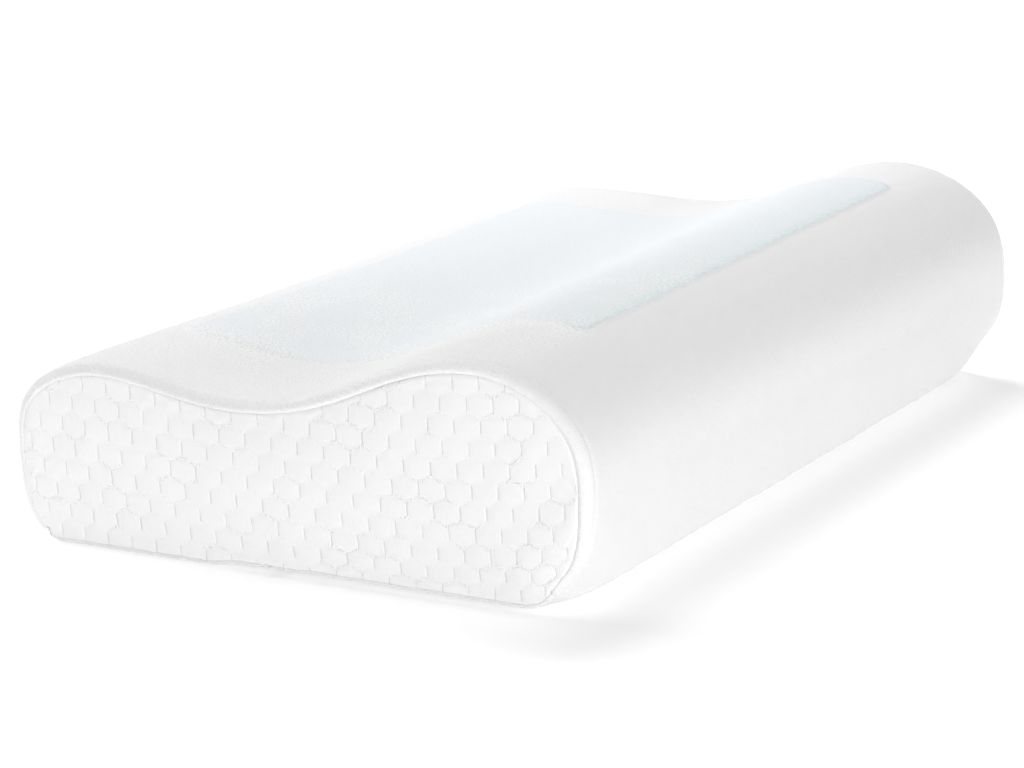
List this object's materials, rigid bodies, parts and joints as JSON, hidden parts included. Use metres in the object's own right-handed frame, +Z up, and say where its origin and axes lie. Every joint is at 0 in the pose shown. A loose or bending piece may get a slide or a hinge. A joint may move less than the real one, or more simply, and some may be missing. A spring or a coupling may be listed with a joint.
{
  "type": "contour bed pillow",
  "caption": "Contour foam bed pillow with a high lobe, a valley and a low lobe, a cooling gel pad under the knit cover, honeycomb knit ends and a zip across the underside",
  "frame": {"origin": "on the surface that the pillow lies on, under the middle of its bounding box", "axes": "+X along the pillow's length, -Y the front with the high lobe, +Y the back with the low lobe, +Z up"},
  "size_m": [0.5, 0.3098, 0.1154],
  "materials": {
    "wrap_knit": "matte",
    "honeycomb_knit": "matte",
    "base_knit": "matte",
    "foam": "matte",
    "gel": "satin",
    "overlock_thread": "satin",
    "zip_tape": "matte",
    "zip_coil": "satin",
    "zip_metal": "gloss"
  },
  "bodies": {
    "pillow": {"foam_core": "foam", "gel_pad": "gel", "cover_top_wrap": "wrap_knit", "end_panel_left": "honeycomb_knit", "end_panel_right": "honeycomb_knit", "base_panel_front": "base_knit", "base_panel_rear": "base_knit", "end_seam_allowance_left": "overlock_thread", "end_seam_allowance_right": "overlock_thread", "base_seam_allowance_front": "overlock_thread", "base_seam_allowance_rear": "overlock_thread", "zipper_tape_front": "zip_tape", "zipper_tape_rear": "zip_tape", "zipper_coil_front": "zip_coil", "zipper_coil_rear": "zip_coil", "zipper_top_stops": "zip_metal", "zipper_bottom_stop": "zip_metal", "zip_stitching_front": "overlock_thread", "zip_stitching_rear": "overlock_thread"},
    "slider": {"zipper_slider": "zip_metal"},
    "pull": {"zipper_pull": "zip_metal"}
  },
  "joints": [
    {"name": "zip_slide", "type": "slide", "parent": "pillow", "child": "slider", "axis": [-1, 0, 0], "range_m": [0, 0.45]},
    {"name": "pull_hinge", "type": "hinge", "parent": "slider", "child": "pull", "pos_m": [0.22525, 0.01, 0.0022], "axis": [0, -1, 0], "range_deg": [0, 178]}
  ]
}
